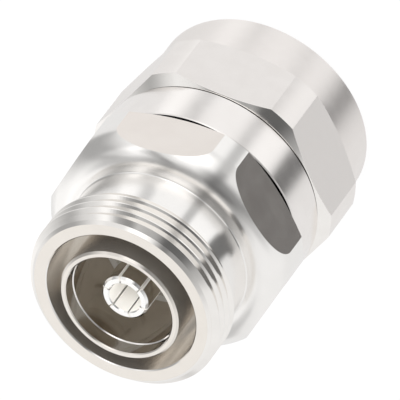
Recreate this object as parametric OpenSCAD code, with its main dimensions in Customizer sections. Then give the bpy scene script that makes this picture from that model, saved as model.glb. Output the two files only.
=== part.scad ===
// Coaxial cable jack with a screwed collar in front and a clamping nut at the cable end.
// Units are millimetres. The axis is +Z, from the cable entry at Z = 0 to the mating face.

/* [Mating interface] */
// Outside diameter of the coupling thread
thread_d = 29; // [27.5:0.1:32]
// Length of the threaded collar, lead chamfer included
thread_len = 6.05; // [4.5:0.05:8]
// Pitch of the coupling thread
thread_pitch = 1.5; // [1:0.05:2]
// Radial width of the lead chamfer on the collar's front edge
lead_chamfer = 1.35; // [0.9:0.05:1.6]
// Inside diameter of the outer contact sleeve at its mouth
sleeve_bore_d = 16.1; // [15:0.1:16.6]
// Wall of the outer contact sleeve
sleeve_wall = 0.95; // [0.7:0.05:1.2]
// How far the sleeve stands ahead of the collar's face
sleeve_stand = 0.7; // [0.2:0.05:1.5]
// Width of the ring channel between sleeve and collar
channel_w = 2.33; // [1.8:0.05:2.6]
// Depth of the ring channel
channel_depth = 9; // [5:0.1:10]
// Outside diameter of the centre contact
contact_d = 7; // [6:0.1:7.6]
// Bore of the centre contact
contact_bore_d = 4.74; // [4:0.02:5.2]
// How far the centre contact's tip lies behind the collar's face
contact_recess = 1.2; // [0.5:0.1:3]
// Width of the slots that split the centre contact
contact_slot_w = 0.25; // [0.15:0.05:0.7]
// Turn of the first slot about the axis
contact_turn = 40.4; // [0:0.1:60]

/* [Body] */
// Wrench size across the flats of body and nut
hex_af = 33.34; // [32.5:0.02:36]
// Diameter over the turned hexagon corners
hex_corner_d = 36.4; // [36:0.1:39]
// Length of the neck behind the thread
neck_len = 6.25; // [4.5:0.05:10]
// Radius of the rounded shoulder in front of the flats
shoulder_r = 4.3; // [3:0.1:4.4]
// Length of the hexagon at its full corner width
corner_len = 3.53; // [2:0.01:8]
// Length of the round band behind the hexagon
band_len = 6.55; // [4:0.05:12]
// Width of the undercut between hexagon and band
undercut_w = 0.6; // [0.3:0.05:1]

/* [Back nut] */
// Length of the clamping nut
nut_len = 17.4; // [15.5:0.1:24]
// Length of the nut's round tail
tail_len = 7.2; // [6.6:0.1:9]
// Wall of the nut's tail outside the gasket groove
tail_wall = 1.03; // [0.8:0.01:1.3]
// Turn of the nut's flats against the body's flats when tight
nut_turn = -9.4; // [-30:0.1:30]
// Gap between nut and band when the nut is tight
nut_gap = 0.25; // [0.15:0.05:0.6]
// Width of the ledge between the nut's bore and the hole for the cable's jacket
ledge_w = 0.9; // [0.6:0.05:1.4]
// Depth of the gasket groove in the jacket hole
gasket_depth = 0.9; // [0.7:0.05:1.1]
// Length of the cable gasket's groove
gasket_len = 3.4; // [2.5:0.1:3.8]
// Diameter of the screwed spigot inside the nut
spigot_d = 29.6; // [29:0.1:29.8]
// Height of the clamping collet
collet_len = 2.1; // [1.6:0.1:3]
// Number of slots in the clamping collet
collet_slots = 6; // [4:1:12]

/* [Inner parts] */
// Thickness of the insulating bead
bead_len = 3.5; // [2.5:0.1:4]
// Height of the ring that holds the bead
retainer_len = 2.7; // [1.5:0.1:3.5]
// Diameter of the centre contact's shank
shank_d = 4.4; // [3.6:0.1:4.8]
// Length of the spring plug for the cable's hollow inner conductor
plug_len = 10; // [8:0.1:11]
// Diameter of the spring plug over its bulge
plug_d = 7.7; // [7.2:0.1:8.4]
// Length of the spring plug's fingers
finger_len = 7.5; // [5:0.1:8]

/* [Hidden] */
$fn = 72;

// Clearances: easy for pieces that turn or slide past each other, close for seated pieces
easy_gap = 0.3;
close_gap = 0.05;
// Small bevel that breaks a turned edge
edge = 0.15;
// Overshoot of a cutter past the face it opens
over = 1;
// Angle of the turned chamfers on the hexagon corners
chamfer_deg = 30;

thread_r = thread_d / 2;
sleeve_bore_r = sleeve_bore_d / 2;
sleeve_r = sleeve_bore_r + sleeve_wall;
collar_bore_r = sleeve_r + channel_w;
contact_r = contact_d / 2;
contact_bore_r = contact_bore_d / 2;
slope = tan(chamfer_deg);
neck_depth = 1.3;
neck_r = thread_r - neck_depth;
face_r = thread_r - lead_chamfer;

// Lead chamfer: a narrow lip at 45 degrees, then a flatter cone up to the thread's crest
lead_lip = lead_chamfer / 3;
lead_len = lead_lip + (lead_chamfer - lead_lip) * slope;

// Grooves of the coupling thread, turned as V rings of 60 degrees between narrow crests
crest_w = thread_pitch / 8;
groove_half = (thread_pitch - crest_w) / 2;
root_half = thread_pitch / 12;
groove_depth = (groove_half - root_half) / slope;
groove_start = lead_len + groove_half;
groove_count = floor((thread_len - groove_start + groove_half) / thread_pitch) + 1;

// Radii of the nut, from the spigot outwards: the bore clears the spigot, the jacket hole
// leaves a ledge below it, and the flats of nut and body stand clear of the tail
spigot_r = spigot_d / 2;
nut_bore_r = spigot_r + easy_gap;
jacket_hole_r = nut_bore_r - ledge_w;
gasket_groove_r = jacket_hole_r + gasket_depth;
tail_r = max(gasket_groove_r, nut_bore_r) + tail_wall;
tail_step = 0.5;
flat_r = max(hex_af / 2, tail_r + tail_step);
corner_r = flat_r + (hex_corner_d - hex_af) / 2;

// Band behind the hexagon, a hair wider than the flats, and the undercut between them
band_stand = 0.03;
band_r = flat_r + band_stand;
undercut_depth = 1.4;
undercut_r = band_r - undercut_depth;

// Stations along the axis, from the cable end up
band_bottom = nut_len + nut_gap;
band_top = band_bottom + band_len;
hex_bottom = band_top + undercut_w;
corner_bottom = hex_bottom + (corner_r - band_r) * slope;
corner_top = corner_bottom + corner_len;
shoulder_top = corner_top + shoulder_r;
thread_bottom = shoulder_top + neck_len;
collar_top = thread_bottom + thread_len;
sleeve_top = collar_top + sleeve_stand;
channel_bottom = collar_top - channel_depth;

// Inside of the body: line bore, seat of the bead, cable cavity
line_step = 0.15;
line_bore_r = sleeve_bore_r - line_step;
line_step_top = collar_top - 1.45;
bead_seat_r = sleeve_r + 0.6;
bead_stop = 2.3;
bead_top = channel_bottom - bead_stop;
bead_bottom = bead_top - bead_len;
cavity_top = bead_bottom - retainer_len - easy_gap;
spigot_wall = 2;
cavity_r = spigot_r - spigot_wall;
seat_bevel = 0.8;
shank_r = shank_d / 2;
bead_hole_r = shank_r + close_gap;
shank_bottom = cavity_top - 3.5;

// Fillet at the root of the neck
root_fillet = 0.25;
// Length of the cone behind the thread
runout_len = neck_depth * slope;

// Seal groove of the spigot
ring_tube_r = 0.72;
ring_slack = 0.02;
ring_groove_r = spigot_r - 2 * (ring_tube_r + ring_slack);
ring_groove_top = band_bottom - 0.8;
ring_groove_bottom = ring_groove_top - 1.9;

// Inside of the nut
ledge_z = tail_len - 1;
gasket_lip = 1.2;
gasket_top = ledge_z - gasket_lip;
gasket_bottom = gasket_top - gasket_len;
gasket_hole_r = jacket_hole_r - 0.35;
mouth_bevel = 0.4;

// Stack on the nut's ledge
washer_len = 0.6;
washer_r = nut_bore_r - easy_gap;
washer_bottom = ledge_z + close_gap;
collet_bottom = washer_bottom + washer_len + close_gap;
collet_top = collet_bottom + collet_len;
collet_r = spigot_r - 0.1;
collet_bore_r = cavity_r - 0.5;
grip_lip = 0.45;
// Room for the cable's flared outer conductor between collet and spigot
flare_gap = 0.35;
spigot_bottom = collet_top + flare_gap;

module turned(points) {
    rotate_extrude() polygon(points);
}

module hexagon(apothem, bottom, top) {
    translate([0, 0, bottom])
        cylinder(h = top - bottom, r = apothem / cos(30), $fn = 6);
}

module back_nut_outline() {
    polygon([
        [0, 0],
        [tail_r - 2 * edge, 0],
        [tail_r, 2 * edge],
        [tail_r, tail_len],
        [corner_r, tail_len + (corner_r - tail_r) * slope],
        [corner_r, nut_len - (corner_r - flat_r) * slope],
        [flat_r - edge, nut_len],
        [0, nut_len]
    ]);
}

module back_nut() {
    color([0.86, 0.85, 0.83])
    difference() {
        intersection() {
            rotate([0, 0, nut_turn]) hexagon(flat_r, -over, nut_len + over);
            rotate_extrude() back_nut_outline();
        }
        turned([
            [0, -over],
            [jacket_hole_r + mouth_bevel + over, -over],
            [jacket_hole_r, mouth_bevel],
            [jacket_hole_r, gasket_bottom],
            [gasket_groove_r, gasket_bottom],
            [gasket_groove_r, gasket_top],
            [jacket_hole_r, gasket_top],
            [jacket_hole_r, ledge_z],
            [nut_bore_r, ledge_z],
            [nut_bore_r, nut_len - mouth_bevel],
            [nut_bore_r + mouth_bevel + over, nut_len + over],
            [0, nut_len + over]
        ]);
    }
}

module cable_gasket() {
    low = gasket_bottom + close_gap;
    high = gasket_top - close_gap;
    color([0.09, 0.09, 0.10])
    turned([
        [gasket_hole_r + mouth_bevel, low],
        [gasket_groove_r - close_gap, low],
        [gasket_groove_r - close_gap, high],
        [gasket_hole_r + mouth_bevel, high],
        [gasket_hole_r, high - mouth_bevel],
        [gasket_hole_r, low + mouth_bevel]
    ]);
}

module thrust_washer() {
    color([0.72, 0.72, 0.70])
    difference() {
        translate([0, 0, washer_bottom]) cylinder(h = washer_len, r = washer_r);
        translate([0, 0, washer_bottom - over])
            cylinder(h = washer_len + 2 * over, r = collet_bore_r + easy_gap);
    }
}

module clamp_collet() {
    slot_w = 0.8;
    slot_len = 0.65 * collet_len;
    heel = 0.3;
    nose = 0.5;
    color([0.80, 0.66, 0.36])
    difference() {
        turned([
            [collet_bore_r, collet_bottom],
            [collet_r - heel, collet_bottom],
            [collet_r, collet_bottom + heel],
            [collet_r, collet_top - nose],
            [collet_r - nose, collet_top],
            [collet_bore_r, collet_top],
            [collet_bore_r - grip_lip, collet_bottom + 0.7 * collet_len],
            [collet_bore_r - grip_lip, collet_bottom + 0.5 * collet_len]
        ]);
        for (turn = [0 : collet_slots - 1])
            rotate([0, 0, turn * 360 / collet_slots])
                translate([collet_bore_r - over, -slot_w / 2, collet_bottom - over])
                    cube([collet_r - collet_bore_r + 2 * over, slot_w, slot_len + over]);
    }
}

module shoulder_outline() {
    polygon([
        [0, hex_bottom],
        [band_r, hex_bottom],
        [corner_r, corner_bottom],
        [corner_r, corner_top],
        [0, corner_top]
    ]);
    intersection() {
        translate([corner_r - shoulder_r, corner_top]) circle(r = shoulder_r);
        translate([corner_r - shoulder_r, corner_top]) square([shoulder_r, shoulder_r]);
    }
    translate([0, corner_top - over]) square([corner_r - shoulder_r, shoulder_r + over]);
}

module neck_root_outline() {
    difference() {
        translate([neck_r - over, shoulder_top - over]) square([root_fillet + over, root_fillet + over]);
        translate([neck_r + root_fillet, shoulder_top + root_fillet]) circle(r = root_fillet, $fn = 48);
    }
}

module thread_groove_outlines() {
    rim_half = groove_half + crest_w / 4;
    for (groove = [0 : groove_count - 1])
        translate([thread_r, collar_top - groove_start - groove * thread_pitch])
            polygon([
                [-groove_depth, -root_half],
                [0, -groove_half],
                [over, -rim_half],
                [over, rim_half],
                [0, groove_half],
                [-groove_depth, root_half]
            ]);
}

module collar_outline() {
    difference() {
        polygon([
            [0, corner_top],
            [neck_r, corner_top],
            [neck_r, thread_bottom - runout_len],
            [thread_r, thread_bottom],
            [thread_r, collar_top - lead_len],
            [face_r + lead_lip, collar_top - lead_lip],
            [face_r, collar_top],
            [sleeve_r, collar_top],
            [sleeve_r, sleeve_top - 2 * edge],
            [sleeve_r - 2 * edge, sleeve_top],
            [0, sleeve_top]
        ]);
        thread_groove_outlines();
    }
    neck_root_outline();
}

module rear_outline() {
    polygon([
        [0, spigot_bottom],
        [spigot_r - 0.5, spigot_bottom],
        [spigot_r, spigot_bottom + 0.5],
        [spigot_r, ring_groove_bottom],
        [ring_groove_r, ring_groove_bottom],
        [ring_groove_r, ring_groove_top],
        [spigot_r, ring_groove_top],
        [spigot_r, band_bottom],
        [band_r - edge, band_bottom],
        [band_r, band_bottom + edge],
        [band_r, band_top - edge],
        [band_r - edge, band_top],
        [undercut_r, band_top],
        [undercut_r, hex_bottom + over],
        [0, hex_bottom + over]
    ]);
}

module body_bore() {
    turned([
        [0, spigot_bottom - over],
        [cavity_r + seat_bevel + over, spigot_bottom - over],
        [cavity_r, spigot_bottom + seat_bevel],
        [cavity_r, cavity_top],
        [bead_seat_r, cavity_top],
        [bead_seat_r, bead_top],
        [line_bore_r, bead_top],
        [line_bore_r, line_step_top - line_step],
        [sleeve_bore_r, line_step_top],
        [sleeve_bore_r, sleeve_top - edge],
        [sleeve_bore_r + edge + over, sleeve_top + over],
        [0, sleeve_top + over]
    ]);
}

module ring_channel() {
    turned([
        [sleeve_r, channel_bottom],
        [collar_bore_r, channel_bottom],
        [collar_bore_r, collar_top - edge],
        [collar_bore_r + edge, collar_top],
        [collar_bore_r + edge, collar_top + over],
        [sleeve_r, collar_top + over]
    ]);
}

module interface_body() {
    color([0.87, 0.86, 0.84])
    difference() {
        union() {
            rotate_extrude() collar_outline();
            intersection() {
                hexagon(flat_r, hex_bottom - over, shoulder_top + over);
                rotate_extrude() shoulder_outline();
            }
            rotate_extrude() rear_outline();
        }
        body_bore();
        ring_channel();
    }
}

module body_o_ring() {
    color([0.08, 0.08, 0.09])
    rotate_extrude()
        translate([spigot_r - ring_tube_r - ring_slack, (ring_groove_bottom + ring_groove_top) / 2])
            circle(r = ring_tube_r, $fn = 20);
}

module front_bead() {
    bead_r = bead_seat_r - close_gap;
    top = bead_top - close_gap;
    relief = 0.6;
    relief_in = bead_hole_r + 2;
    relief_out = line_bore_r - 1;
    color([0.93, 0.93, 0.90])
    turned([
        [bead_hole_r, bead_bottom],
        [relief_in, bead_bottom],
        [relief_in, bead_bottom + relief],
        [relief_out, bead_bottom + relief],
        [relief_out, bead_bottom],
        [bead_r, bead_bottom],
        [bead_r, top],
        [relief_out, top],
        [relief_out, top - relief],
        [relief_in, top - relief],
        [relief_in, top],
        [bead_hole_r, top]
    ]);
}

module bead_retainer() {
    top = bead_bottom - close_gap;
    color([0.80, 0.79, 0.76])
    turned([
        [line_bore_r, top - retainer_len],
        [bead_seat_r - close_gap, top - retainer_len],
        [bead_seat_r - close_gap, top],
        [line_bore_r, top]
    ]);
}

module center_socket() {
    tip = collar_top - contact_recess;
    tip_bevel = 2 * edge;
    bore_depth = tip - bead_top - 1.1;
    slot_len = bore_depth - 0.6;
    color([0.90, 0.89, 0.87])
    difference() {
        turned([
            [0, shank_bottom],
            [shank_r, shank_bottom],
            [shank_r, bead_top],
            [contact_r, bead_top],
            [contact_r, tip - tip_bevel],
            [contact_r - tip_bevel, tip],
            [0, tip]
        ]);
        turned([
            [0, tip - bore_depth - contact_bore_r * slope],
            [contact_bore_r, tip - bore_depth],
            [contact_bore_r, tip - edge],
            [contact_bore_r + edge + over, tip + over],
            [0, tip + over]
        ]);
        for (turn = [0 : 60 : 120])
            rotate([0, 0, contact_turn + turn])
                translate([-contact_r - over, -contact_slot_w / 2, tip - slot_len])
                    cube([2 * (contact_r + over), contact_slot_w, slot_len + over]);
    }
}

module inner_connector() {
    top = bead_bottom - close_gap;
    hub_bottom = shank_bottom - 1;
    flange_r = contact_r + 1.1;
    flange_len = 1.5;
    plug_bottom = hub_bottom - plug_len;
    bulge_r = plug_d / 2;
    waist_r = bulge_r - 0.45;
    nose = 1.05;
    bulge_bottom = plug_bottom + 1.5 * nose;
    bulge_top = bulge_bottom + nose;
    finger_wall = 1.1;
    finger_slot_w = 0.6;
    color([0.89, 0.88, 0.86])
    difference() {
        turned([
            [0, plug_bottom],
            [bulge_r - nose, plug_bottom],
            [bulge_r, bulge_bottom],
            [bulge_r, bulge_top],
            [waist_r, bulge_top + 1.7 * nose],
            [waist_r, hub_bottom],
            [flange_r, hub_bottom],
            [flange_r, hub_bottom + flange_len],
            [contact_r, hub_bottom + flange_len + flange_r - contact_r],
            [contact_r, top],
            [0, top]
        ]);
        translate([0, 0, shank_bottom - close_gap])
            cylinder(h = top - shank_bottom + close_gap + over, r = bead_hole_r);
        translate([0, 0, plug_bottom - over])
            cylinder(h = finger_len + finger_slot_w + over, r = waist_r - finger_wall);
        for (turn = [0, 90])
            rotate([0, 0, turn])
                translate([-bulge_r - over, -finger_slot_w / 2, plug_bottom - over])
                    cube([2 * (bulge_r + over), finger_slot_w, finger_len + over]);
    }
}

back_nut();
cable_gasket();
thrust_washer();
clamp_collet();
interface_body();
body_o_ring();
front_bead();
bead_retainer();
center_socket();
inner_connector();
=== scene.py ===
# Coaxial cable jack with a screwed collar and a clamping nut, dressed for rendering.
# Outlines are written in millimetres, as radius and height, and every mesh is made in metres.
import math
from collections import namedtuple

import bmesh
import bpy
from mathutils import Matrix, Vector


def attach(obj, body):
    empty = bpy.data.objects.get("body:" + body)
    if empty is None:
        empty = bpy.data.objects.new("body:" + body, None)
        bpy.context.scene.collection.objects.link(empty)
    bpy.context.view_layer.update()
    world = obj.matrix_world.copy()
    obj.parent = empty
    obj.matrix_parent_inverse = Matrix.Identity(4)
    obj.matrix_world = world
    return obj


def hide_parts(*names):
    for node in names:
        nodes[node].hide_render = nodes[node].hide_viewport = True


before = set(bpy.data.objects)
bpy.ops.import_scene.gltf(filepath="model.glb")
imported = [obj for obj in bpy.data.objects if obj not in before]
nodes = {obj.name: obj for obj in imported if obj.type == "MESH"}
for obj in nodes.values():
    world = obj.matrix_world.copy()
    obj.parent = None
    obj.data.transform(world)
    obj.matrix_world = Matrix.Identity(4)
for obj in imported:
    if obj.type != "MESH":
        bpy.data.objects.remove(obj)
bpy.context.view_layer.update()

MM = 0.001
HEX_SIDES = 6

# Rise of the chamfers, cones and thread flanks for each millimetre of radius
SLOPE = math.tan(math.radians(30))

# Radii and edges of the body, in millimetres
THREAD_R = 14.5
FACE_R = 13.15
NECK_R = 13.2
SLEEVE_R = 9.0
SLEEVE_BORE_R = 8.05
LINE_BORE_R = 7.9
COLLAR_BORE_R = 11.33
FLAT_R = 16.67
CORNER_R = 18.2
BAND_R = 16.70
UNDERCUT_R = 15.30
SPIGOT_R = 14.8
RING_GROOVE_R = 13.32
CAVITY_R = 12.8
BEAD_SEAT_R = 9.6
SHOULDER_R = 4.3
ROOT_FILLET = 0.25
LEAD_LIP = 0.45
SPIGOT_BEVEL = 0.5
SEAT_BEVEL = 0.8
EDGE = 0.15

# Radii and edges of the nut
TAIL_R = 16.13
NUT_BORE_R = 15.1
JACKET_HOLE_R = 14.2
GASKET_GROOVE_R = 15.1
MOUTH_BEVEL = 0.4

# Radii and slots of the centre contact
CONTACT_R = 3.5
CONTACT_BORE_R = 2.37
SHANK_R = 2.2
SLOT_CUTS = 3
SLOT_W = 0.25
SLOT_EDGE = 0.14
SLOT_TURN = math.radians(40.4)

# Lengths along the axis
NUT_LEN = 17.4
NUT_GAP = 0.25
BAND_LEN = 6.55
UNDERCUT_LEN = 0.6
CORNER_LEN = 3.53
NECK_LEN = 6.25
COLLAR_LEN = 6.05
SLEEVE_RISE = 0.7
CHANNEL_DEPTH = 9
LINE_STEP_DEPTH = 1.45
SLEEVE_FLOOR = 2.3
BEAD_SEAT_LEN = 6.5
CONTACT_RECESS = 1.2
CONTACT_FLOOR = 1.1
SHANK_TAIL = 3.5
SLOT_STOP = 0.6

# Heights above the cable end
TAIL_LEN = 7.2
LEDGE_Z = 6.2
GASKET_BOTTOM = 1.6
GASKET_TOP = 5.0
SPIGOT_BOTTOM = 9.35
RING_GROOVE_BOTTOM = 14.95
RING_GROOVE_TOP = 16.85
BAND_BOTTOM = NUT_LEN + NUT_GAP
BAND_TOP = BAND_BOTTOM + BAND_LEN
HEX_BOTTOM = BAND_TOP + UNDERCUT_LEN
CORNER_BOTTOM = HEX_BOTTOM + (CORNER_R - BAND_R) * SLOPE
CORNER_TOP = CORNER_BOTTOM + CORNER_LEN
SHOULDER_TOP = CORNER_TOP + SHOULDER_R
THREAD_BOTTOM = SHOULDER_TOP + NECK_LEN
COLLAR_TOP = THREAD_BOTTOM + COLLAR_LEN
LEAD_LEN = LEAD_LIP + (THREAD_R - FACE_R - LEAD_LIP) * SLOPE
SLEEVE_TOP = COLLAR_TOP + SLEEVE_RISE
CHANNEL_BOTTOM = COLLAR_TOP - CHANNEL_DEPTH
LINE_STEP_TOP = COLLAR_TOP - LINE_STEP_DEPTH
LINE_STEP_BOTTOM = LINE_STEP_TOP - (SLEEVE_BORE_R - LINE_BORE_R)
BEAD_TOP = CHANNEL_BOTTOM - SLEEVE_FLOOR
CAVITY_TOP = BEAD_TOP - BEAD_SEAT_LEN
CONTACT_TIP = COLLAR_TOP - CONTACT_RECESS
CONTACT_BORE_BOTTOM = BEAD_TOP + CONTACT_FLOOR
SLOT_BOTTOM = CONTACT_BORE_BOTTOM + SLOT_STOP
SHANK_BOTTOM = CAVITY_TOP - SHANK_TAIL

# The nut's flats are turned against the body's
NUT_TURN = math.radians(-9.4)

# Coupling thread: a right-hand V groove, and how far it lies below the front towards the camera
PITCH = 1.5
CREST_W = PITCH / 8
GROOVE_DEPTH = 0.92
GROOVE_DROP = 1.62
GROOVE_Z = COLLAR_TOP - GROOVE_DROP

# Steps round the axis, per turn of the thread and along the arcs of an outline
ROUND_STEPS = 288
CONTACT_STEPS = 144
HELIX_STEPS = 192
SHOULDER_STEPS = 32
FILLET_STEPS = 12
SMOOTH_ANGLE = math.radians(12)

# How far cutters reach past what they cut, in millimetres
CUTTER_END = 0.3
CUTTER_WALL = 6
THREAD_CLEAR = 0.4
SLOT_CLEAR = 1

# Direction to the camera and the turn of the picture, in degrees
CAMERA_AZIMUTH = 28.9
CAMERA_ELEVATION = 44.39
PICTURE_TURN = 36.8
HEADING = CAMERA_AZIMUTH - 90


def polar(radius, angle, height):
    """A point in metres from cylindrical millimetres."""
    return Vector((radius * math.cos(angle), radius * math.sin(angle), height)) * MM


def arc(centre, radius, start, end, steps):
    """Points of an arc in an outline, angles in degrees."""
    points = []
    for step in range(steps + 1):
        angle = math.radians(start + (end - start) * step / steps)
        points.append((centre[0] + radius * math.cos(angle), centre[1] + radius * math.sin(angle)))
    return points


def finish_mesh(name, bm):
    """An object from a bmesh, with its faces turned outwards."""
    bmesh.ops.recalc_face_normals(bm, faces=bm.faces)
    mesh = bpy.data.meshes.new(name)
    bm.to_mesh(mesh)
    bm.free()
    obj = bpy.data.objects.new(name, mesh)
    bpy.context.scene.collection.objects.link(obj)
    return obj


def turned(name, outline, segments, turn=0.0):
    """A closed outline of radius and height turned about the axis."""
    bm = bmesh.new()
    rings = []
    for radius, height in outline:
        if radius == 0:
            rings.append([bm.verts.new(polar(0, 0, height))] * segments)
            continue
        angles = [turn + math.tau * step / segments for step in range(segments)]
        rings.append([bm.verts.new(polar(radius, angle, height)) for angle in angles])
    for index, ring in enumerate(rings):
        following = rings[(index + 1) % len(rings)]
        for step in range(segments):
            after = (step + 1) % segments
            corners = [ring[step], ring[after], following[after], following[step]]
            unique = list(dict.fromkeys(corners))
            if len(unique) > 2:
                bm.faces.new(unique)
    return finish_mesh(name, bm)


def cut(obj, cutter):
    """Takes the cutter's volume out of obj."""
    change = obj.modifiers.new("cut", "BOOLEAN")
    change.operation = "DIFFERENCE"
    change.solver = "EXACT"
    change.object = cutter
    evaluated = obj.evaluated_get(bpy.context.evaluated_depsgraph_get())
    shaped = bpy.data.meshes.new_from_object(evaluated)
    obj.modifiers.clear()
    spare = obj.data
    obj.data = shaped
    bpy.data.meshes.remove(spare)
    bpy.data.objects.remove(cutter)


def smooth(obj):
    """Smooth shading that stops at sharp edges."""
    mesh = obj.data
    mesh.polygons.foreach_set("use_smooth", [True] * len(mesh.polygons))
    mesh.set_sharp_from_angle(angle=SMOOTH_ANGLE)


def hexagon_cutter(name, bottom, top, turn):
    """What lies outside a hexagon, from below one height to above another."""
    inner = FLAT_R / math.cos(math.pi / HEX_SIDES)
    outer = CORNER_R + CUTTER_WALL
    low = bottom - CUTTER_END
    high = top + CUTTER_END
    outline = [(inner, low), (outer, low), (outer, high), (inner, high)]
    return turned(name, outline, HEX_SIDES, turn)


def thread_groove(name):
    """The helical wedge that cuts the coupling thread's groove."""
    mouth = (PITCH - CREST_W) / 2
    root = mouth - GROOVE_DEPTH * SLOPE
    root_r = THREAD_R - GROOVE_DEPTH
    clear_r = THREAD_R + THREAD_CLEAR
    wide_mouth = mouth + CREST_W / 4
    section = [
        (root_r, -root),
        (THREAD_R, -mouth),
        (clear_r, -wide_mouth),
        (clear_r, wide_mouth),
        (THREAD_R, mouth),
        (root_r, root),
    ]
    start = math.radians(HEADING)
    first = int((THREAD_BOTTOM - 2 * PITCH - GROOVE_Z) / PITCH * HELIX_STEPS)
    last = int((COLLAR_TOP + PITCH - GROOVE_Z) / PITCH * HELIX_STEPS)
    bm = bmesh.new()
    rings = []
    for step in range(first, last + 1):
        angle = start + math.tau * step / HELIX_STEPS
        height = GROOVE_Z + PITCH * step / HELIX_STEPS
        rings.append([bm.verts.new(polar(radius, angle, height + z)) for radius, z in section])
    for ring, following in zip(rings, rings[1:]):
        for side in range(len(section)):
            after = (side + 1) % len(section)
            bm.faces.new((ring[side], ring[after], following[after], following[side]))
    bm.faces.new(rings[0])
    bm.faces.new(rings[-1])
    return finish_mesh(name, bm)


def slot_cutter(name, turn):
    """A thin plate that cuts two slots of the contact, one on either side."""
    bm = bmesh.new()
    bmesh.ops.create_cube(bm, size=1)
    top = CONTACT_TIP + SLOT_CLEAR
    size = Vector((2 * (CONTACT_R + SLOT_CLEAR), SLOT_W, top - SLOT_BOTTOM))
    middle = Vector((0, 0, (top + SLOT_BOTTOM) / 2))
    scale = Matrix.Diagonal((*(size * MM), 1))
    place = Matrix.Rotation(turn, 4, "Z") @ Matrix.Translation(middle * MM) @ scale
    bmesh.ops.transform(bm, matrix=place, verts=bm.verts)
    return finish_mesh(name, bm)


def slot_bevel(name, turn):
    """A square rod on its edge that bevels the mouth of one slot of the contact."""
    bm = bmesh.new()
    top = CONTACT_TIP + SLOT_CLEAR
    bottom = SLOT_BOTTOM - SLOT_EDGE
    half = (SLOT_W / 2 + SLOT_EDGE) * MM
    depth = (top - bottom) * MM
    bmesh.ops.create_cone(bm, cap_ends=True, segments=4, radius1=half, radius2=half, depth=depth)
    middle = polar(CONTACT_R, 0, (top + bottom) / 2)
    place = Matrix.Rotation(turn, 4, "Z") @ Matrix.Translation(middle)
    bmesh.ops.transform(bm, matrix=place, verts=bm.verts)
    return finish_mesh(name, bm)


def new_tree(name):
    """An empty material with its tree, shader and output."""
    material = bpy.data.materials.new(name)
    material.use_nodes = True
    tree = material.node_tree
    tree.nodes.clear()
    shader = tree.nodes.new("ShaderNodeBsdfPrincipled")
    output = tree.nodes.new("ShaderNodeOutputMaterial")
    tree.links.new(shader.outputs["BSDF"], output.inputs["Surface"])
    return material, tree, shader


def math_node(tree, operation, first, second=None):
    """A math node fed by sockets or numbers."""
    node = tree.nodes.new("ShaderNodeMath")
    node.operation = operation
    for socket, value in zip(node.inputs, (first, second)):
        if value is None:
            continue
        if isinstance(value, (int, float)):
            socket.default_value = value
        else:
            tree.links.new(value, socket)
    return node.outputs["Value"]


def map_range(tree, value, low, high, to_low, to_high, kind="LINEAR"):
    """The value carried from one range to another, held at the ends."""
    node = tree.nodes.new("ShaderNodeMapRange")
    node.interpolation_type = kind
    tree.links.new(value, node.inputs["Value"])
    node.inputs["From Min"].default_value = low
    node.inputs["From Max"].default_value = high
    node.inputs["To Min"].default_value = to_low
    node.inputs["To Max"].default_value = to_high
    return node.outputs["Result"]


def mix_shader(tree, factor, first, second):
    """A shader that runs from first to second with the factor."""
    node = tree.nodes.new("ShaderNodeMixShader")
    tree.links.new(factor, node.inputs["Fac"])
    tree.links.new(first, node.inputs[1])
    tree.links.new(second, node.inputs[2])
    return node.outputs["Shader"]


def noise(tree, vector, scale, detail):
    """A noise value for a position in millimetres."""
    node = tree.nodes.new("ShaderNodeTexNoise")
    node.inputs["Scale"].default_value = scale
    node.inputs["Detail"].default_value = detail
    tree.links.new(vector, node.inputs["Vector"])
    return node.outputs["Fac"]


def position_mm(tree):
    """The place on the object, in millimetres."""
    coordinates = tree.nodes.new("ShaderNodeTexCoord")
    scaled = tree.nodes.new("ShaderNodeVectorMath")
    scaled.operation = "SCALE"
    scaled.inputs["Scale"].default_value = 1 / MM
    tree.links.new(coordinates.outputs["Object"], scaled.inputs[0])
    return scaled.outputs["Vector"]


def radius_and_height(tree, position):
    """How far a position lies from the axis, and its height."""
    parts = tree.nodes.new("ShaderNodeSeparateXYZ")
    tree.links.new(position, parts.inputs["Vector"])
    square_x = math_node(tree, "MULTIPLY", parts.outputs["X"], parts.outputs["X"])
    square_y = math_node(tree, "MULTIPLY", parts.outputs["Y"], parts.outputs["Y"])
    radius = math_node(tree, "SQRT", math_node(tree, "ADD", square_x, square_y))
    return radius, parts.outputs["Z"]


def turned_position(tree, position):
    """Radius and height of a position as a vector, so that a pattern runs round the axis."""
    radius, height = radius_and_height(tree, position)
    joined = tree.nodes.new("ShaderNodeCombineXYZ")
    tree.links.new(radius, joined.inputs["X"])
    tree.links.new(height, joined.inputs["Z"])
    return joined.outputs["Vector"]


def round_the_axis(tree, position):
    """The direction in which a turning mark runs."""
    node = tree.nodes.new("ShaderNodeVectorMath")
    node.operation = "CROSS_PRODUCT"
    node.inputs[0].default_value = (0, 0, 1)
    tree.links.new(position, node.inputs[1])
    return node.outputs["Vector"]


def colour_between(tree, factor, first, second):
    """A colour that runs from first to second with the factor."""
    ramp = tree.nodes.new("ShaderNodeValToRGB")
    ramp.color_ramp.elements[0].color = (*first, 1)
    ramp.color_ramp.elements[1].color = (*second, 1)
    tree.links.new(factor, ramp.inputs["Fac"])
    return ramp.outputs["Color"]


def bump(tree, height, strength, depth_mm):
    """A normal raised by a height pattern."""
    node = tree.nodes.new("ShaderNodeBump")
    node.inputs["Strength"].default_value = strength
    node.inputs["Distance"].default_value = depth_mm * MM
    tree.links.new(height, node.inputs["Height"])
    return node.outputs["Normal"]


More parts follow.
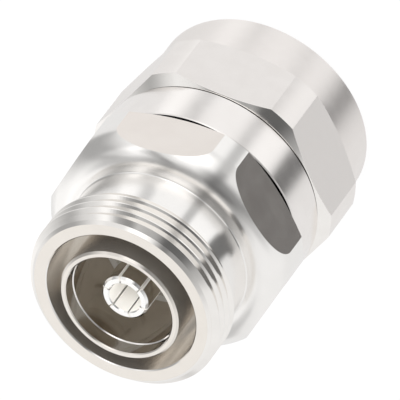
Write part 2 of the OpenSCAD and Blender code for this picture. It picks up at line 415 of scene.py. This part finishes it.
def turned_metal(name, dark, light, polish, grain=0.0, metallic=1.0):
    """Plated or bare metal with faint turning marks.

    Polish is its lowest and highest roughness, grain tells how much the marks round the axis
    spread a reflection along the profile, and a dull metal is less than fully metallic.
    """
    quarter_turn = 0.25
    material, tree, shader = new_tree(name)
    shader.inputs["Metallic"].default_value = metallic
    shader.inputs["Anisotropic"].default_value = grain
    shader.inputs["Anisotropic Rotation"].default_value = quarter_turn
    position = position_mm(tree)
    tree.links.new(round_the_axis(tree, position), shader.inputs["Tangent"])
    clouds = noise(tree, position, scale=0.35, detail=3)
    marks = noise(tree, turned_position(tree, position), scale=14, detail=2)
    tint = map_range(tree, clouds, low=0.35, high=0.65, to_low=0, to_high=1)
    tree.links.new(colour_between(tree, tint, dark, light), shader.inputs["Base Color"])
    roughness = map_range(tree, clouds, low=0.3, high=0.7, to_low=polish[0], to_high=polish[1])
    tree.links.new(roughness, shader.inputs["Roughness"])
    tree.links.new(bump(tree, marks, strength=0.02, depth_mm=0.01), shader.inputs["Normal"])
    return material


def slot_wall_painted_shade(name, dark, light, dark_r, light_r):
    """Dull walls of a slot with painted shade: dark up to one radius and light from another, so darker
    towards the bore.
    """
    material, tree, shader = new_tree(name)
    shader.inputs["Roughness"].default_value = 0.5
    radius = radius_and_height(tree, position_mm(tree))[0]
    way_out = map_range(tree, radius, low=dark_r, high=light_r, to_low=0, to_high=1)
    tree.links.new(colour_between(tree, way_out, dark, light), shader.inputs["Base Color"])
    return material


def moulded(name, dark, light, polish, grain):
    """A plastic or rubber with a fine grain, given in bumps per millimetre."""
    material, tree, shader = new_tree(name)
    position = position_mm(tree)
    clouds = noise(tree, position, scale=0.6, detail=3)
    pits = noise(tree, position, scale=grain, detail=4)
    tree.links.new(colour_between(tree, clouds, dark, light), shader.inputs["Base Color"])
    roughness = map_range(tree, pits, low=0.3, high=0.7, to_low=polish[0], to_high=polish[1])
    tree.links.new(roughness, shader.inputs["Roughness"])
    tree.links.new(bump(tree, pits, strength=0.2, depth_mm=0.03), shader.inputs["Normal"])
    return material


# Finishes of the body; the face, bore, channel and groove colours are darkened with painted shade
body_metal = turned_metal(
    "plated_body", dark=(0.925, 0.907, 0.886), light=(0.95, 0.932, 0.912), polish=(0.13, 0.17), grain=0.93
)
flat_metal = turned_metal(
    "plated_flat", dark=(0.925, 0.866, 0.817), light=(0.95, 0.893, 0.845), polish=(0.16, 0.20)
)
collar_metal = turned_metal(
    "plated_collar", dark=(0.905, 0.88, 0.85), light=(0.935, 0.911, 0.882), polish=(0.07, 0.11)
)
# The front faces: the collar's plating darkened, painted shade
face_painted_shade = turned_metal(
    "plated_face_painted_shade", dark=(0.815, 0.772, 0.718), light=(0.84, 0.797, 0.742), polish=(0.14, 0.18)
)
band_metal = turned_metal(
    "plated_band", dark=(0.905, 0.871, 0.846), light=(0.935, 0.902, 0.878), polish=(0.20, 0.24)
)
# The sleeve bore: plating darkened and browned, painted shade in the deep bore
bore_painted_shade = turned_metal(
    "plated_bore_painted_shade", dark=(0.58, 0.52, 0.45), light=(0.64, 0.58, 0.505), polish=(0.08, 0.14)
)
# The channel round the sleeve: plating a little darker and warmer than the collar's, painted shade in the
# recess
channel_painted_shade = turned_metal(
    "plated_channel_painted_shade", dark=(0.83, 0.79, 0.735), light=(0.87, 0.83, 0.775), polish=(0.13, 0.17), metallic=0.85
)
# The undercut between band and flats: near black, painted shade
undercut_painted_shade = turned_metal(
    "painted_shade_undercut", dark=(0.05, 0.048, 0.046), light=(0.08, 0.077, 0.073), polish=(0.3, 0.4)
)

# Finishes of the nut
nut_metal = turned_metal(
    "plated_nut", dark=(0.91, 0.873, 0.846), light=(0.94, 0.904, 0.878), polish=(0.28, 0.33)
)
tail_metal = turned_metal(
    "plated_tail", dark=(0.90, 0.86, 0.832), light=(0.93, 0.891, 0.864), polish=(0.33, 0.38)
)

# Finishes of the centre contact
contact_metal = turned_metal(
    "silver_contact", dark=(0.965, 0.955, 0.935), light=(0.985, 0.977, 0.96), polish=(0.08, 0.14)
)
spring_metal = turned_metal(
    "spring_inside", dark=(0.95, 0.93, 0.89), light=(0.97, 0.955, 0.92), polish=(0.4, 0.5), metallic=0.1
)
# The slot walls: painted shade, dark towards the bore
slot_painted_shade = slot_wall_painted_shade(
    "slot_wall_painted_shade", dark=(0.12, 0.115, 0.11), light=(0.95, 0.93, 0.89), dark_r=2.45, light_r=2.8
)

# Finishes of the hidden pieces
brass = turned_metal("bare_brass", dark=(0.74, 0.58, 0.30), light=(0.82, 0.67, 0.38), polish=(0.18, 0.28))
steel = turned_metal("washer_steel", dark=(0.60, 0.60, 0.59), light=(0.70, 0.70, 0.69), polish=(0.25, 0.35))
insulator = moulded(
    "white_insulator", dark=(0.77, 0.745, 0.69), light=(0.83, 0.805, 0.75), polish=(0.45, 0.6), grain=6
)
rubber = moulded(
    "black_rubber", dark=(0.028, 0.028, 0.030), light=(0.045, 0.045, 0.047), polish=(0.55, 0.7), grain=8
)

BODY_METALS = (
    body_metal,
    flat_metal,
    collar_metal,
    face_painted_shade,
    band_metal,
    bore_painted_shade,
    channel_painted_shade,
    undercut_painted_shade,
)
NUT_METALS = (nut_metal, collar_metal, tail_metal)
CONTACT_METALS = (contact_metal, spring_metal, slot_painted_shade)

# Limits that tell the faces of a piece apart: a margin in millimetres, and parts of a unit normal
MARGIN = 0.05
UPRIGHT = 0.01
SLANTED = 0.3
STEEP = 0.5
LEVEL = 0.6
OUTER = 0.8

# How far the collar's polish runs on below its thread, and the least wall round the cavity
POLISH_RUN = 1
CAVITY_WALL = 1

# A face's distance from the axis, its height, and how far its normal points up and outwards
Place = namedtuple("Place", "reach height up out")


def body_zone(place):
    """The finish at a place of the body; its face, channel, bore and undercut get painted shade."""
    in_sleeve = BEAD_TOP < place.height < LINE_STEP_BOTTOM and place.reach < SLEEVE_BORE_R - MARGIN
    on_front = place.height > COLLAR_TOP - EDGE / 4 and place.up > LEVEL
    beside_sleeve = SLEEVE_R - MARGIN < place.reach < COLLAR_BORE_R + MARGIN
    at_undercut = BAND_TOP - EDGE / 2 < place.height < HEX_BOTTOM + EDGE / 2
    below_skin = CAVITY_R + CAVITY_WALL < place.reach < BAND_R - EDGE
    flat_reach = FLAT_R - MARGIN < place.reach < CORNER_R - MARGIN
    # Painted shade: the deep sleeve bore gets the dark brown plating
    if in_sleeve:
        return bore_painted_shade
    # Painted shade: the up-facing front faces get the darker plating
    if on_front:
        return face_painted_shade
    # Painted shade: the channel walls beside the sleeve get the darker plating
    if place.height > CHANNEL_BOTTOM - EDGE and beside_sleeve:
        return channel_painted_shade
    if place.height > THREAD_BOTTOM - POLISH_RUN:
        return collar_metal
    # Painted shade: the undercut groove is painted near black
    if at_undercut and below_skin:
        return undercut_painted_shade
    if place.height < BAND_TOP:
        return band_metal
    if abs(place.up) < UPRIGHT and flat_reach and place.height < SHOULDER_TOP:
        return flat_metal
    return body_metal


def nut_zone(place):
    """The finish at a place of the nut, whose front chamfer is the brightest part."""
    if place.height < TAIL_LEN:
        return tail_metal
    if place.height > NUT_LEN - (CORNER_R - FLAT_R) and place.up > SLANTED:
        return collar_metal
    return nut_metal


def contact_zone(place):
    """The finish at a place of the contact, which is dull in its bore and its slots, and whose slot walls
    carry painted shade.
    """
    if place.height < CONTACT_BORE_BOTTOM or abs(place.up) > STEEP or place.out > OUTER:
        return contact_metal
    # Painted shade on the slot walls
    if abs(place.out) < SLANTED:
        return slot_painted_shade
    return spring_metal


def finish_faces(obj, metals, zone):
    """Gives every face of obj the metal that its zone names."""
    for metal in metals:
        obj.data.materials.append(metal)
    for face in obj.data.polygons:
        outwards = Vector((face.center.x, face.center.y, 0))
        reach = outwards.length / MM
        height = face.center.z / MM
        place = Place(reach, height, face.normal.z, face.normal.dot(outwards.normalized()))
        face.material_index = metals.index(zone(place))


def make_body():
    """The turned body with its flats and its coupling thread."""
    shoulder = arc((CORNER_R - SHOULDER_R, CORNER_TOP), SHOULDER_R, 0, 90, SHOULDER_STEPS)
    root_centre = (NECK_R + ROOT_FILLET, SHOULDER_TOP + ROOT_FILLET)
    neck_root = arc(root_centre, ROOT_FILLET, 270, 180, FILLET_STEPS)
    outline = [
        (CAVITY_R + SEAT_BEVEL, SPIGOT_BOTTOM),
        (SPIGOT_R - SPIGOT_BEVEL, SPIGOT_BOTTOM),
        (SPIGOT_R, SPIGOT_BOTTOM + SPIGOT_BEVEL),
        (SPIGOT_R, RING_GROOVE_BOTTOM),
        (RING_GROOVE_R, RING_GROOVE_BOTTOM),
        (RING_GROOVE_R, RING_GROOVE_TOP),
        (SPIGOT_R, RING_GROOVE_TOP),
        (SPIGOT_R, BAND_BOTTOM),
        (BAND_R - EDGE, BAND_BOTTOM),
        (BAND_R, BAND_BOTTOM + EDGE),
        (BAND_R, BAND_TOP - EDGE),
        (BAND_R - EDGE, BAND_TOP),
        (UNDERCUT_R, BAND_TOP),
        (UNDERCUT_R, HEX_BOTTOM),
        (BAND_R, HEX_BOTTOM),
        (CORNER_R, CORNER_BOTTOM),
        *shoulder,
        *neck_root,
        (NECK_R, THREAD_BOTTOM - (THREAD_R - NECK_R) * SLOPE),
        (THREAD_R, THREAD_BOTTOM),
        (THREAD_R, COLLAR_TOP - LEAD_LEN),
        (FACE_R + LEAD_LIP, COLLAR_TOP - LEAD_LIP),
        (FACE_R, COLLAR_TOP),
        (COLLAR_BORE_R + EDGE, COLLAR_TOP),
        (COLLAR_BORE_R, COLLAR_TOP - EDGE),
        (COLLAR_BORE_R, CHANNEL_BOTTOM),
        (SLEEVE_R, CHANNEL_BOTTOM),
        (SLEEVE_R, SLEEVE_TOP - 2 * EDGE),
        (SLEEVE_R - 2 * EDGE, SLEEVE_TOP),
        (SLEEVE_BORE_R + EDGE, SLEEVE_TOP),
        (SLEEVE_BORE_R, SLEEVE_TOP - EDGE),
        (SLEEVE_BORE_R, LINE_STEP_TOP),
        (LINE_BORE_R, LINE_STEP_BOTTOM),
        (LINE_BORE_R, BEAD_TOP),
        (BEAD_SEAT_R, BEAD_TOP),
        (BEAD_SEAT_R, CAVITY_TOP),
        (CAVITY_R, CAVITY_TOP),
        (CAVITY_R, SPIGOT_BOTTOM + SEAT_BEVEL),
    ]
    body = turned("jack_body", outline, ROUND_STEPS)
    cut(body, hexagon_cutter("body_flats", HEX_BOTTOM, SHOULDER_TOP, 0))
    cut(body, thread_groove("thread_cutter"))
    smooth(body)
    finish_faces(body, BODY_METALS, body_zone)
    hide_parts("interface_body")
    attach(body, "connector")


def make_nut():
    """The clamping nut with its hexagon and its round tail."""
    outline = [
        (JACKET_HOLE_R + MOUTH_BEVEL, 0),
        (TAIL_R - 2 * EDGE, 0),
        (TAIL_R, 2 * EDGE),
        (TAIL_R, TAIL_LEN),
        (CORNER_R, TAIL_LEN + (CORNER_R - TAIL_R) * SLOPE),
        (CORNER_R, NUT_LEN - (CORNER_R - FLAT_R) * SLOPE),
        (FLAT_R - EDGE, NUT_LEN),
        (NUT_BORE_R + MOUTH_BEVEL, NUT_LEN),
        (NUT_BORE_R, NUT_LEN - MOUTH_BEVEL),
        (NUT_BORE_R, LEDGE_Z),
        (JACKET_HOLE_R, LEDGE_Z),
        (JACKET_HOLE_R, GASKET_TOP),
        (GASKET_GROOVE_R, GASKET_TOP),
        (GASKET_GROOVE_R, GASKET_BOTTOM),
        (JACKET_HOLE_R, GASKET_BOTTOM),
        (JACKET_HOLE_R, MOUTH_BEVEL),
    ]
    nut = turned("clamp_nut", outline, ROUND_STEPS)
    cut(nut, hexagon_cutter("nut_flats", TAIL_LEN, NUT_LEN, NUT_TURN))
    smooth(nut)
    finish_faces(nut, NUT_METALS, nut_zone)
    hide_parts("back_nut")
    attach(nut, "cable_side")


def make_contact():
    """The centre contact with its shank and six slots."""
    outline = [
        (0, SHANK_BOTTOM),
        (SHANK_R, SHANK_BOTTOM),
        (SHANK_R, BEAD_TOP),
        (CONTACT_R, BEAD_TOP),
        (CONTACT_R, CONTACT_TIP - 2 * EDGE),
        (CONTACT_R - 2 * EDGE, CONTACT_TIP),
        (CONTACT_BORE_R + EDGE, CONTACT_TIP),
        (CONTACT_BORE_R, CONTACT_TIP - EDGE),
        (CONTACT_BORE_R, CONTACT_BORE_BOTTOM),
        (0, CONTACT_BORE_BOTTOM - CONTACT_BORE_R * SLOPE),
    ]
    contact = turned("slotted_contact", outline, CONTACT_STEPS)
    for step in range(SLOT_CUTS):
        turn = SLOT_TURN + step * math.pi / SLOT_CUTS
        cut(contact, slot_cutter("slot_cutter", turn))
        for side in (turn, turn + math.pi):
            cut(contact, slot_bevel("slot_bevel", side))
    smooth(contact)
    finish_faces(contact, CONTACT_METALS, contact_zone)
    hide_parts("center_socket")
    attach(contact, "connector")
    return contact


def dress(node, material):
    """Gives a CAD node its material."""
    slots = nodes[node].data.materials
    slots.clear()
    slots.append(material)


def dress_hidden_pieces():
    """The pieces that keep the shape of their solids."""
    dress("cable_gasket", rubber)
    dress("thrust_washer", steel)
    dress("clamp_collet", brass)
    dress("body_o_ring", rubber)
    dress("front_bead", insulator)
    # The retainer deep in the bore takes the same painted shade
    dress("bead_retainer", bore_painted_shade)
    dress("inner_connector", contact_metal)


# The floor's half width in metres, its paint and, to the camera, its shadow and its glow
FLOOR_HALF = 3
FLOOR_PAINT = 0.9
FLOOR_SHADOW = 0.12
FLOOR_GLOW = 0.91


def matte(tree, grey):
    """A matte shader of one grey."""
    node = tree.nodes.new("ShaderNodeBsdfDiffuse")
    node.inputs["Color"].default_value = (grey, grey, grey, 1)
    return node.outputs["BSDF"]


def make_floor():
    """A plain white floor that keeps a soft shadow and doesn't show from below."""
    bm = bmesh.new()
    bmesh.ops.create_grid(bm, x_segments=1, y_segments=1, size=FLOOR_HALF)
    floor = finish_mesh("floor", bm)
    material = bpy.data.materials.new("white_floor")
    material.use_nodes = True
    tree = material.node_tree
    tree.nodes.clear()
    glow = tree.nodes.new("ShaderNodeEmission")
    glow.inputs["Color"].default_value = (1, 1, 1, 1)
    glow.inputs["Strength"].default_value = FLOOR_GLOW
    seen = tree.nodes.new("ShaderNodeAddShader")
    tree.links.new(matte(tree, FLOOR_SHADOW), seen.inputs[0])
    tree.links.new(glow.outputs["Emission"], seen.inputs[1])
    path = tree.nodes.new("ShaderNodeLightPath")
    is_camera = path.outputs["Is Camera Ray"]
    upper_side = mix_shader(tree, is_camera, matte(tree, FLOOR_PAINT), seen.outputs["Shader"])
    geometry = tree.nodes.new("ShaderNodeNewGeometry")
    clear = tree.nodes.new("ShaderNodeBsdfTransparent")
    one_sided = mix_shader(tree, geometry.outputs["Backfacing"], upper_side, clear.outputs["BSDF"])
    output = tree.nodes.new("ShaderNodeOutputMaterial")
    tree.links.new(one_sided, output.inputs["Surface"])
    floor.data.materials.append(material)
    floor.visible_glossy = False


# A panel of the studio: its direction from the camera's heading, its half sizes and the widths
# of its soft edges, all in degrees, and how bright it is against the white round it
Panel = namedtuple("Panel", "azimuth elevation half_width half_height soft_sides soft_ends brightness")
STUDIO_WHITE = 0.86
PANELS = {
    "floor flag": Panel(55.5, -20, 13.5, 50, 7, 20, 0.2),
    "low right light": Panel(26, -60, 17, 24, 8, 8, 1.25),
    "low middle light": Panel(-25, -60, 21, 24, 10, 8, 1.17),
    "low left gap": Panel(-54, -40, 6, 40, 8, 20, 0.76),
    "low left light": Panel(-78, -40, 12, 30, 10, 20, 1.28),
    "overhead flag": Panel(22, 64, 36, 27, 30, 30, 0.31),
    "overhead right flag": Panel(69, 61, 16, 22, 17, 36, 0.66),
    "ceiling": Panel(0, 88, 190, 19, 10, 20, 0.46),
    "left flag": Panel(-109, 12, 18, 37, 26, 14, 0.48),
    "left high flag": Panel(-125, 62, 34, 16, 23, 12, 0.62),
    "upper left flag": Panel(-75, 59, 12, 14, 12, 12, 0.42),
    "back flag": Panel(161, 25, 10, 19, 8, 12, 0.68),
    "front gap": Panel(3, -12, 5, 52, 7, 20, 0.66),
    "front high gap": Panel(4, 41, 5, 27, 8, 14, 0.75),
    "front light": Panel(-26, 20, 19, 32, 14, 26, 1.55),
    "right light": Panel(112, 25, 30, 34, 24, 24, 1.06),
    "left light": Panel(-94, 48, 20, 12, 12, 14, 1.8),
    "back light": Panel(-161, 21, 18, 25, 12, 16, 1.2),
    "back high light": Panel(180, 47, 24, 12, 14, 14, 1.13),
}


def heading(azimuth, elevation):
    """A direction in the world from an azimuth, counted to the picture's right, and an elevation."""
    turn = math.radians(HEADING - azimuth)
    lift = math.radians(elevation)
    return Vector((math.cos(lift) * math.cos(turn), math.cos(lift) * math.sin(turn), math.sin(lift)))


def dot(tree, direction, axis):
    """The part of a direction along an axis."""
    node = tree.nodes.new("ShaderNodeVectorMath")
    node.operation = "DOT_PRODUCT"
    tree.links.new(direction, node.inputs[0])
    node.inputs[1].default_value = axis
    return node.outputs["Value"]


def panel_level(tree, azimuth, elevation, panel):
    """The brightness that one panel gives a direction, against 1 outside it."""
    from_side = math_node(tree, "SUBTRACT", azimuth, math.radians(panel.azimuth))
    turns = math_node(tree, "ROUND", math_node(tree, "DIVIDE", from_side, math.tau))
    from_side = math_node(tree, "SUBTRACT", from_side, math_node(tree, "MULTIPLY", turns, math.tau))
    from_end = math_node(tree, "SUBTRACT", elevation, math.radians(panel.elevation))
    spans = (
        (from_side, panel.half_width, panel.soft_sides),
        (from_end, panel.half_height, panel.soft_ends),
    )
    masks = []
    for angle, half, softness in spans:
        apart = math_node(tree, "ABSOLUTE", angle)
        inside = math.radians(half - softness / 2)
        outside = math.radians(half + softness / 2)
        masks.append(map_range(tree, apart, inside, outside, 1, 0, "SMOOTHSTEP"))
    mask = math_node(tree, "MULTIPLY", masks[0], masks[1])
    return map_range(tree, mask, 0, 1, 1, panel.brightness)


def white_light(tree):
    """A white background of strength 1."""
    node = tree.nodes.new("ShaderNodeBackground")
    node.inputs["Color"].default_value = (1, 1, 1, 1)
    node.inputs["Strength"].default_value = 1
    return node


def make_world():
    """White for the camera, and a white studio with soft panels for everything else."""
    world = bpy.data.worlds.new("studio")
    bpy.context.scene.world = world
    world.use_nodes = True
    tree = world.node_tree
    tree.nodes.clear()
    coordinates = tree.nodes.new("ShaderNodeTexCoord")
    direction = coordinates.outputs["Generated"]
    sideways = dot(tree, direction, heading(90, 0))
    to_camera = dot(tree, direction, heading(0, 0))
    azimuth = math_node(tree, "ARCTAN2", sideways, to_camera)
    elevation = math_node(tree, "ARCSINE", dot(tree, direction, heading(0, 90)))
    level = STUDIO_WHITE
    for panel in PANELS.values():
        level = math_node(tree, "MULTIPLY", level, panel_level(tree, azimuth, elevation, panel))
    studio = white_light(tree)
    tree.links.new(level, studio.inputs["Strength"])
    path = tree.nodes.new("ShaderNodeLightPath")
    is_camera = path.outputs["Is Camera Ray"]
    plain = white_light(tree)
    shown = mix_shader(tree, is_camera, studio.outputs["Background"], plain.outputs["Background"])
    output = tree.nodes.new("ShaderNodeOutputWorld")
    tree.links.new(shown, output.inputs["Surface"])


# Width and height of the lamps in metres, and their power in watts
LAMP_WIDTH = 2.4
LAMP_HEIGHT = 1
TOP_LAMP_POWER = 10
CONTACT_LAMP_POWER = 52


def make_lamp(name, power, lit=None):
    """A broad lamp overhead for the dull surfaces, or for those of one piece alone."""
    data = bpy.data.lights.new(name, "AREA")
    data.shape = "DISK"
    data.size = LAMP_WIDTH
    data.energy = power
    lamp = bpy.data.objects.new(name, data)
    lamp.location = (0, 0, LAMP_HEIGHT)
    lamp.visible_camera = False
    lamp.visible_glossy = False
    bpy.context.scene.collection.objects.link(lamp)
    if lit:
        receivers = bpy.data.collections.new(name + "_receivers")
        receivers.objects.link(lit)
        lamp.light_linking.receiver_collection = receivers


# The lens and the width of the view, and how far the view's middle lies from the collar's front:
# sideways, and towards the cable end as the camera sees it, all in millimetres
SENSOR_WIDTH = 36
LENS = 1000
VIEW_WIDTH = 54.72
AIM_SIDEWAYS = 0.234
AIM_TO_CABLE = 17.82


def make_camera():
    """A long lens at the photograph's angle."""
    data = bpy.data.cameras.new("camera")
    data.sensor_width = SENSOR_WIDTH
    data.lens = LENS
    distance = VIEW_WIDTH * LENS / SENSOR_WIDTH
    sideways = heading(90, 0)
    back = heading(0, CAMERA_ELEVATION)
    to_cable = back.cross(sideways)
    target = Vector((0, 0, COLLAR_TOP)) + sideways * AIM_SIDEWAYS + to_cable * AIM_TO_CABLE
    turn = math.radians(PICTURE_TURN)
    image_right = sideways * math.cos(turn) + to_cable * math.sin(turn)
    image_up = back.cross(image_right)
    rotation = Matrix((image_right, image_up, back)).transposed()
    camera = bpy.data.objects.new("camera", data)
    camera.matrix_world = Matrix.Translation((target + back * distance) * MM) @ rotation.to_4x4()
    bpy.context.scene.collection.objects.link(camera)
    bpy.context.scene.camera = camera


make_body()
make_nut()
centre_contact = make_contact()
dress_hidden_pieces()
make_floor()
make_world()
make_lamp("top_lamp", TOP_LAMP_POWER)
make_lamp("contact_lamp", CONTACT_LAMP_POWER, centre_contact)
make_camera()
bpy.context.scene.view_settings.view_transform = "Standard"
